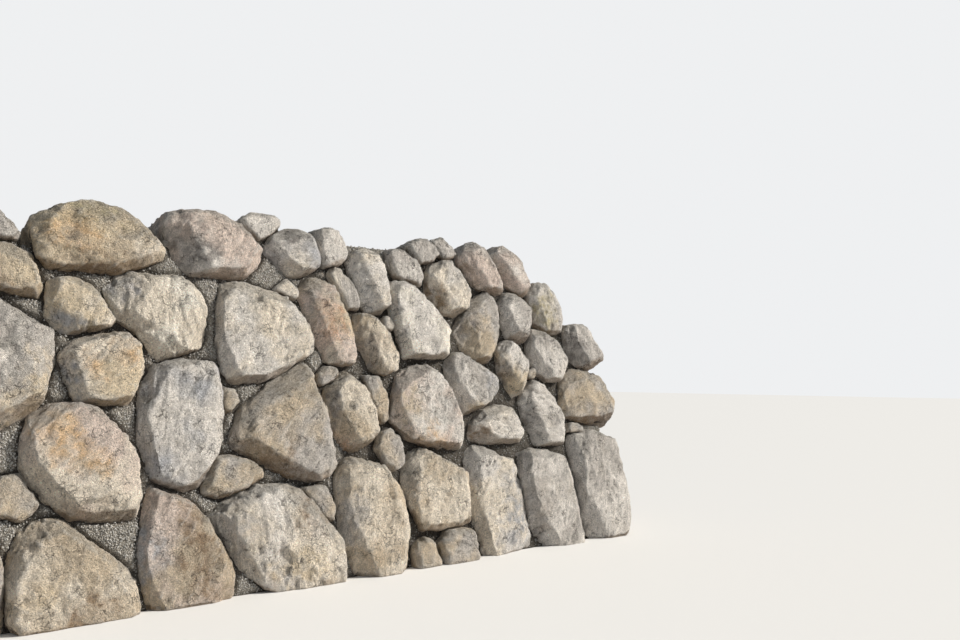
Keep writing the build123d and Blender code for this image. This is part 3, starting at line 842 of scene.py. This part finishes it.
STONE = {
    "tan_limestone": limestone("tan_limestone", OCHRE, 0.30, 0.10),
    "grey_limestone": limestone("grey_limestone", TAN, 0.25, 0.08),
    "pale_limestone": limestone("pale_limestone", SAND, 0.25, 0.09),
    "rusty_limestone": limestone("rusty_limestone", RUST, 0.4, 0.10),
}
GRAVEL = crushed_stone("gravel")
BED = gravel_bed("gravel_bed")


def make_stones():
    """Every boulder and wedge stone, in place of its node."""
    for seed, (name, look) in enumerate(LOOKS.items(), 1):
        solids = solids_of(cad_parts[name])
        meshes = [stone_mesh(solid, look, 100 * seed + number) for number, solid in enumerate(solids)]
        mesh = meshes[0] if len(meshes) == 1 else joined(meshes)
        piece = add_piece(f"{name}_rock", mesh, STONE[look.slot])
        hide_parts(name)


# The packed gravel's surface
FACE_PITCH = 0.012  # it is made on a grid of this pitch
AHEAD = 0.4  # the rays into the face start this far in front of it
PACKED_DEPTH = 0.046  # how far behind the face plane the gravel lies in a tight joint
POCKET_DEPTH = 0.010  # and in a wide pocket
POCKET_REACH = 4  # the cells on each side by which a pocket's width is judged
POCKET_FADE = (0.40, 0.85)  # the shares of gravel round a cell in a tight joint and in a wide pocket
INNER_FADE = (0.6, 1.0)  # the shares of enclosed cells where the wide pockets end and begin
LEAST_WALL = 0.01  # the least share of wall that a share of gravel is measured against
UNDER_STONES = 3  # the cells by which the surface runs on under the boulders' edges
ALL_CELLS = 0.999  # what an average is when every cell counts, less some rounding
HOLLOW_DEPTH = 0.5  # hollows in the face up to this deep are filled too
PACKED_LUMPS = (0.10, 0.006)  # their size and height
PACKED_STONES = (0.03, 0.003)
FULL_PALER = 0.15  # how much less painted shade the joints have where the pockets are packed full

# The loose grains of crushed stone
GRAIN_SHARE = 0.75  # how many cells of the gravel's surface have one
TIGHT_GRAINS = 0.3  # the share of them that a tight joint has
LESS_GRAINS = 0.4  # the share that is left where nothing is packed
RIGHT_END_LIGHTNESS = 0.4  # how light they are painted there, darkened as painted shade
LEDGE_UP = 0.5  # how far up a boulder's surface turns on a ledge
LEDGE_SHARE = 0.20  # how many cells of such ledges near a joint have one
LEDGE_NEAR = 0.15  # the share of gravel round such a cell
SLOT_PITCH = 0.02  # the slots round the boulders' tails are looked for on a grid of this pitch
SLOT_DEPTH = 0.03  # what lies this far behind the gravel's rear face is in a slot
FRONT_PIECES = 3
FRONT_SIZES = (0.009, 0.026)  # the smallest and the largest grain

# The other sheets of grains: the way in which they are seen, their pitch and their sizes
SHEETS = {
    "top_gravel": ((0, 0, -1), 0.027, (0.018, 0.040)),
    "back_gravel": ((0, -1, 0), 0.034, (0.028, 0.062)),
    "left_gravel": ((1, 0, 0), 0.03, (0.020, 0.050)),
    "right_gravel": ((-1, 0, 0), 0.03, (0.020, 0.050)),
}
SHEET_JITTER = 0.4  # in pitches
SHEET_UNEVEN = 0.004
SIZE_SPREAD = (1.6, 2.8)  # most grains are nearer the smallest size
SHADE_SPREAD = (2.0, 2.6)
INSIDE = 0.6  # how far inside the box the grains' centres stay, in sizes
GRAIN_SHAPES = 16
GRAIN_CORNERS = 8
CORNER_REACH = (0.38, 0.55)
GRAIN_STRETCH = (0.75, 1.2)


def grain_shapes(rng):
    """A few broken shapes about one unit across, as (points, triangles)."""
    shapes = []
    for _ in range(GRAIN_SHAPES):
        bm = bmesh.new()
        for _ in range(GRAIN_CORNERS):
            out = rng.normal(size=3)
            bm.verts.new(Vector(out / np.linalg.norm(out) * rng.uniform(*CORNER_REACH)))
        hull = bmesh.ops.convex_hull(bm, input=bm.verts)
        bmesh.ops.delete(bm, geom=[g for g in hull["geom_interior"] if isinstance(g, bmesh.types.BMVert)])
        bmesh.ops.triangulate(bm, faces=bm.faces)
        bm.verts.index_update()
        points = np.array([v.co[:] for v in bm.verts])
        faces = np.array([[v.index for v in f.verts] for f in bm.faces])
        shapes.append((points, faces))
        bm.free()
    return shapes


def turns(rng, count):
    """Random rotations, as matrices."""
    q = rng.normal(size=(count, 4))
    w, x, y, z = (q / np.linalg.norm(q, axis=1)[:, None]).T
    return np.array([
        [1 - 2 * (y * y + z * z), 2 * (x * y - z * w), 2 * (x * z + y * w)],
        [2 * (x * y + z * w), 1 - 2 * (x * x + z * z), 2 * (y * z - x * w)],
        [2 * (x * z - y * w), 2 * (y * z + x * w), 1 - 2 * (x * x + y * y)],
    ]).transpose(2, 0, 1)


def grains_mesh(name, centres, sizes, painted_lightness, rng):
    """All the grains as one mesh."""
    shapes = grain_shapes(rng)
    kinds = rng.integers(0, GRAIN_SHAPES, len(centres))
    stretch = rng.uniform(*GRAIN_STRETCH, (len(centres), 3)) * sizes[:, None]
    rotation = turns(rng, len(centres))
    # Each grain's own random lightness, times the painted shade it is given
    shade = (0.5 + 0.5 * rng.beta(*SHADE_SPREAD, len(centres))) * painted_lightness
    all_points, all_faces, all_shades = [], [], []
    offset = 0
    for kind, (points, faces) in enumerate(shapes):
        chosen = np.nonzero(kinds == kind)[0]
        local = points[None] * stretch[chosen][:, None]
        placed = np.einsum("gij,gpj->gpi", rotation[chosen], local) + centres[chosen][:, None]
        all_points.append(placed.reshape(-1, 3))
        steps = offset + np.arange(len(chosen))[:, None, None] * len(points)
        all_faces.append((faces[None] + steps).reshape(-1, 3))
        all_shades.append(np.repeat(shade[chosen], len(points)))
        offset += len(chosen) * len(points)
    mesh = bpy.data.meshes.new(name)
    mesh.from_pydata(np.concatenate(all_points), [], np.concatenate(all_faces))
    add_attribute(mesh, "shade", np.concatenate(all_shades))
    return mesh


def face_point(x, z, depth=0.0):
    """The point this far behind the face plane, over (x, z) of the plane."""
    return Vector((x, FACE_AT_FOOT + BATTER * z, z)) + depth * INTO


def blurred(grid, reach):
    """The average of the cells round each cell."""
    for axis in (0, 1):
        grid = sum(np.roll(grid, step, axis) for step in range(-reach, reach + 1)) / (2 * reach + 1)
    return grid


def within_stones(front):
    """The cells of the face with a stone's front above them and to both sides."""
    left = np.maximum.accumulate(front, axis=0)
    right = np.maximum.accumulate(front[::-1], axis=0)[::-1]
    above = np.maximum.accumulate(front[:, ::-1], axis=1)[:, ::-1]
    return left & right & above


def face_cells(rng, across, up):
    """What rays into the face meet. Grids say how deep a stone lies in each cell, whether the
    face is there and whether anything is. Lists give the cells on ledges and on open gravel."""
    stone = np.full((len(across), len(up)), np.inf)
    wall = np.zeros(stone.shape)
    reached = np.zeros(stone.shape, bool)
    ledges, bare = [], []
    for (i, x), (k, z) in itertools.product(enumerate(across), enumerate(up)):
        start = face_point(x, z, -AHEAD)
        hit = cast(start, INTO, AHEAD + HOLLOW_DEPTH)
        if hit is None:
            continue
        point, normal, thing = hit
        depth = (point - start).dot(INTO) - AHEAD
        reached[i, k] = True
        wall[i, k] = depth < 2 * PACKED_DEPTH
        if thing.name.startswith("gravel"):
            bare.append((i, k, point))
        elif thing.name != "floor":
            stone[i, k] = depth
            on_ledge = normal.z > LEDGE_UP and POCKET_DEPTH < depth < 2 * PACKED_DEPTH
            if on_ledge and rng.random() < LEDGE_SHARE:
                ledges.append((i, k, point))
    return stone, wall, reached, ledges, bare


def packed_face(rng):
    """The packed gravel's surface between the boulders as a mesh, and the places of loose grains."""
    low, high = (Vector(corner) for corner in cad_box)
    across = np.arange(low.x, high.x, FACE_PITCH)
    up = np.arange(0.0, high.z, FACE_PITCH)
    stone, wall, reached, ledges, bare = face_cells(rng, across, up)
    enclosed = reached & within_stones(stone < PACKED_DEPTH)
    closed = blurred(blurred(wall, UNDER_STONES) > 0, UNDER_STONES) > ALL_CELLS
    wall = enclosed * np.maximum(wall, closed)
    share = blurred(wall * (stone > PACKED_DEPTH), POCKET_REACH)
    share /= np.maximum(blurred(wall, POCKET_REACH), LEAST_WALL)
    grains = [point for i, k, point in ledges if share[i, k] > LEDGE_NEAR]
    grains += [point for i, k, point in bare if not enclosed[i, k] and rng.random() < GRAIN_SHARE]
    inner = np.interp(blurred(enclosed.astype(float), POCKET_REACH), INNER_FADE, (0, 1))
    full = np.repeat(fullness(across)[:, None], len(up), axis=1)
    wide = np.interp(share, POCKET_FADE, (0, 1)) * inner * full
    flat = np.array([face_point(x, z)[:] for x in across for z in up])
    depth = PACKED_DEPTH + (POCKET_DEPTH - PACKED_DEPTH) * eased(wide)
    size, height = PACKED_LUMPS
    depth += (height * layered_noise(flat, size, 3)).reshape(depth.shape)
    size, height = PACKED_STONES
    depth += (height * noise(flat, size, 5)).reshape(depth.shape)
    points = within_box(flat + depth.reshape(-1, 1) * np.array(INTO))
    open_cells = (stone > depth) & (wall > 0)
    index = np.arange(len(points)).reshape(depth.shape)
    before, after = slice(None, -1), slice(1, None)
    corners = [(before, before), (after, before), (after, after), (before, after)]
    near = blurred(open_cells.astype(float), UNDER_STONES) > 0
    shown = np.any([near[c] for c in corners], axis=0) & np.all([wall[c] > 0 for c in corners], axis=0)
    faces = np.stack([index[c][shown] for c in corners], axis=1)
    chance = GRAIN_SHARE * (TIGHT_GRAINS + (1 - TIGHT_GRAINS) * wide)
    chance *= LESS_GRAINS + (1 - LESS_GRAINS) * full
    for number in index[before, before][np.all([open_cells[c] for c in corners], axis=0)]:
        if rng.random() < chance.flat[number]:
            shift = np.array([rng.uniform(0, FACE_PITCH), 0, rng.uniform(0, FACE_PITCH)])
            grains.append(Vector(points[number] + shift))
    used = np.unique(faces)
    mesh = bpy.data.meshes.new("packed_gravel")
    mesh.from_pydata(points[used], [], np.searchsorted(used, faces))
    # How much painted shade the packed gravel gets: most in tight joints, less where the pockets are packed
    # full
    add_attribute(mesh, "hollow", ((1 - wide) * (1 - FULL_PALER * full)).ravel()[used])
    return mesh, grains


def sheet_grains(rng, direction, pitch):
    """Grains where rays in one direction first meet the gravel."""
    found = []
    for origin in origins(direction, pitch):
        shift = Vector(rng.uniform(-SHEET_JITTER, SHEET_JITTER, 3)) * pitch
        hit = cast(origin + shift, direction, FAR)
        if hit and hit[2].name.startswith("gravel"):
            found.append(hit[0] + Vector(rng.normal(size=3)) * SHEET_UNEVEN)
    return found


def slot_grains():
    """Grains that close the slots between the gravel's rear face and the boulders' tails."""
    ahead = Vector((0, -1, 0))
    hits = [hit for hit in (cast(origin, ahead, FAR) for origin in origins(ahead, SLOT_PITCH)) if hit]
    rows = {}
    for point, _, thing in hits:
        if thing.name.startswith("gravel"):
            rows.setdefault(round(point.z / SLOT_PITCH), []).append(point)
    faces = {
        key: (min(p.x for p in row), max(p.x for p in row), np.median([p.y for p in row]))
        for key, row in rows.items()
    }
    found = []
    for point, _, _ in hits:
        left, right, face = faces.get(round(point.z / SLOT_PITCH), (0, 0, 0))
        if left < point.x < right and point.y < face - SLOT_DEPTH:
            found.append(Vector((point.x, face - SLOT_DEPTH / 2, point.z)))
    return found


def make_gravel():
    """The packed gravel's surface, the sheets of loose grains and the look of the gravel's own nodes."""
    rng = np.random.default_rng(7)
    bpy.context.view_layer.update()
    mesh, front = packed_face(rng)
    add_piece("packed_gravel", mesh, BED)
    front.sort(key=lambda place: place.x)
    cuts = [number * len(front) // FRONT_PIECES for number in range(FRONT_PIECES + 1)]
    sheets = [
        (f"front_gravel_{number}", front[start:end], FRONT_SIZES)
        for number, (start, end) in enumerate(zip(cuts, cuts[1:]), 1)
    ]
    for name, (direction, pitch, sizes) in SHEETS.items():
        sheets.append((name, sheet_grains(rng, Vector(direction), pitch), sizes))
        if name == "back_gravel":
            sheets[-1][1].extend(slot_grains())
    for name, places, (smallest, largest) in sheets:
        centres = np.array([place[:] for place in places])
        sizes = smallest + (largest - smallest) * rng.beta(*SIZE_SPREAD, len(centres))
        low, high = np.array(cad_box)
        centres = np.clip(centres, low + largest * INSIDE, high - largest * INSIDE)
        # Painted shade: the front grains get darker towards the right end, where the pockets are packed less
        # full
        painted_lightness = 1.0
        if name.startswith("front"):
            painted_lightness = RIGHT_END_LIGHTNESS + (1 - RIGHT_END_LIGHTNESS) * fullness(centres[:, 0])
        add_piece(name, grains_mesh(name, centres, sizes, painted_lightness, rng), GRAVEL)
    for name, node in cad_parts.items():
        if name.startswith("gravel"):
            node.data.materials.clear()
            node.data.materials.append(BED)


def make_stage():
    """A pale floor."""
    mesh = bpy.data.meshes.new("floor")
    corners = [(-FLOOR_REACH, -FLOOR_REACH, 0), (FLOOR_REACH, -FLOOR_REACH, 0),
               (FLOOR_REACH, FLOOR_REACH, 0), (-FLOOR_REACH, FLOOR_REACH, 0)]
    mesh.from_pydata(corners, [], [(0, 1, 2, 3)])
    floor = bpy.data.objects.new("floor", mesh)
    bpy.context.scene.collection.objects.link(floor)
    mesh.materials.append(Nodes("floor").finish(FLOOR_COLOUR, 0.95, 0.1))


def make_lights():
    """A low sun from the right and a pale sky, which lights less brightly than it looks."""
    world = bpy.data.worlds.new("studio")
    world.use_nodes = True
    bpy.context.scene.world = world
    tree = world.node_tree
    background = tree.nodes["Background"]
    path = tree.nodes.new("ShaderNodeLightPath")
    colour = tree.nodes.new("ShaderNodeMix")
    colour.data_type = "RGBA"
    colour.inputs["A"].default_value = (*SKY_LIGHT, 1)
    colour.inputs["B"].default_value = (*SKY_SEEN, 1)
    tree.links.new(path.outputs["Is Camera Ray"], colour.inputs["Factor"])
    tree.links.new(colour.outputs["Result"], background.inputs["Color"])
    background.inputs["Strength"].default_value = 1.0
    sun = bpy.data.lights.new("key", "SUN")
    sun.angle = math.radians(SUN_ANGLE)
    sun.energy = SUN_STRENGTH
    sun.color = SUN_COLOUR
    lamp = bpy.data.objects.new("key", sun)
    lamp.rotation_euler = SUN_FROM.to_track_quat("Z", "Y").to_euler()
    bpy.context.scene.collection.objects.link(lamp)


def make_camera():
    """A camera at eye height, in front of the wall and left of it."""
    data = bpy.data.cameras.new("camera")
    data.lens = LENS
    camera = bpy.data.objects.new("camera", data)
    camera.location = EYE
    camera.rotation_euler = (math.radians(TILT), 0, math.radians(HEADING))
    bpy.context.scene.collection.objects.link(camera)
    bpy.context.scene.camera = camera


bpy.context.scene.view_settings.view_transform = "Standard"
make_camera()
make_stage()
make_lights()
bpy.context.view_layer.update()
FRONT_CELLS = cells_seen(FRONT_VIEWS)
REAR_CELLS = cells_seen(REAR_VIEWS)
END_CELLS = cells_seen(END_VIEWS)
make_stones()
make_gravel()
